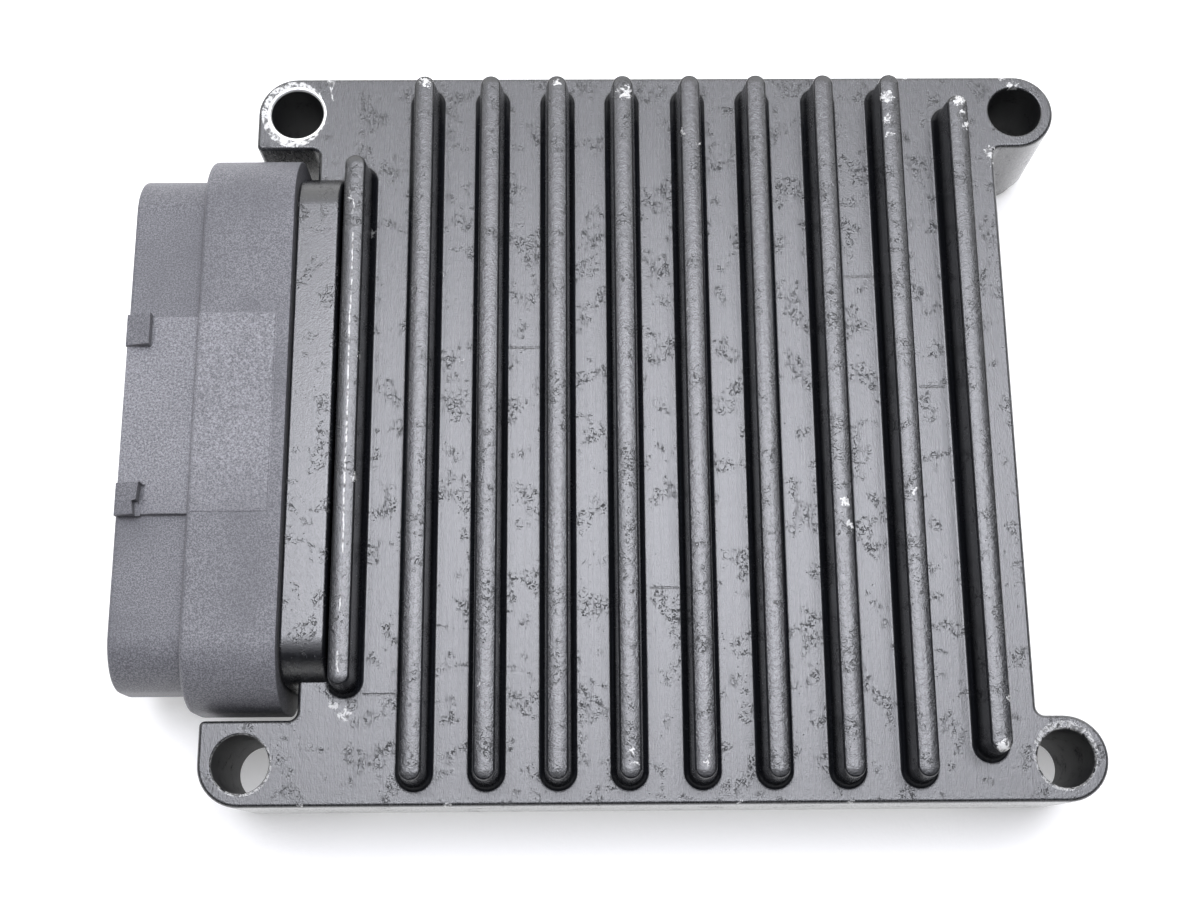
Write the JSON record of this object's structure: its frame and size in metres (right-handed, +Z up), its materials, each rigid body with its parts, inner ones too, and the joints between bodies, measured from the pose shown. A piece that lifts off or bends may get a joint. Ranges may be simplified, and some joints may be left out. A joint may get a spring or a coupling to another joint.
{
  "type": "engine control unit",
  "caption": "Finned die-cast control unit case with corner mounting ears, a wide plug header on one side, and its circuit board inside.",
  "frame": {"origin": "centre of the bounding box in plan, at the plane of the mounting feet", "axes": "+X along the case away from the connector, +Y across the case towards the ear that stands further in, +Z up through the fins"},
  "size_m": [0.173, 0.1372, 0.0341],
  "materials": {
    "casting": "black semi-gloss coating, worn to bare metal at the ears and fin ends",
    "cover": "plain sheet",
    "header": "fine-grained glass-filled plastic",
    "pin_plastic": "satin",
    "rubber": "matt",
    "steel": "zinc plated",
    "laminate": "solder mask",
    "package": "moulded",
    "can": "satin",
    "ferrite": "matt",
    "silicone": "soft"
  },
  "bodies": {
    "root": {"base_cover": "cover", "board_screw_1": "steel", "board_screw_2": "steel", "board_screw_3": "steel", "board_screw_4": "steel", "circuit_board": "laminate", "connector_header": "header", "cover_screw_1": "steel", "cover_screw_2": "steel", "cover_screw_3": "steel", "cover_screw_4": "steel", "cover_screw_5": "steel", "cover_screw_6": "steel", "cover_screw_7": "steel", "cover_screw_8": "steel", "cover_seal": "rubber", "crystal": "can", "filter_capacitor_1": "can", "filter_capacitor_2": "can", "filter_capacitor_3": "can", "flash_memory": "package", "header_screw_1": "steel", "header_screw_2": "steel", "header_seal": "rubber", "housing": "casting", "ignition_driver_1": "package", "ignition_driver_2": "package", "ignition_driver_3": "package", "ignition_driver_4": "package", "microcontroller": "package", "output_driver_1": "package", "output_driver_2": "package", "pin_block_a": "pin_plastic", "pin_block_b": "pin_plastic", "power_choke": "ferrite", "thermal_pad": "silicone", "voltage_regulator": "package"}
  },
  "joints": []
}
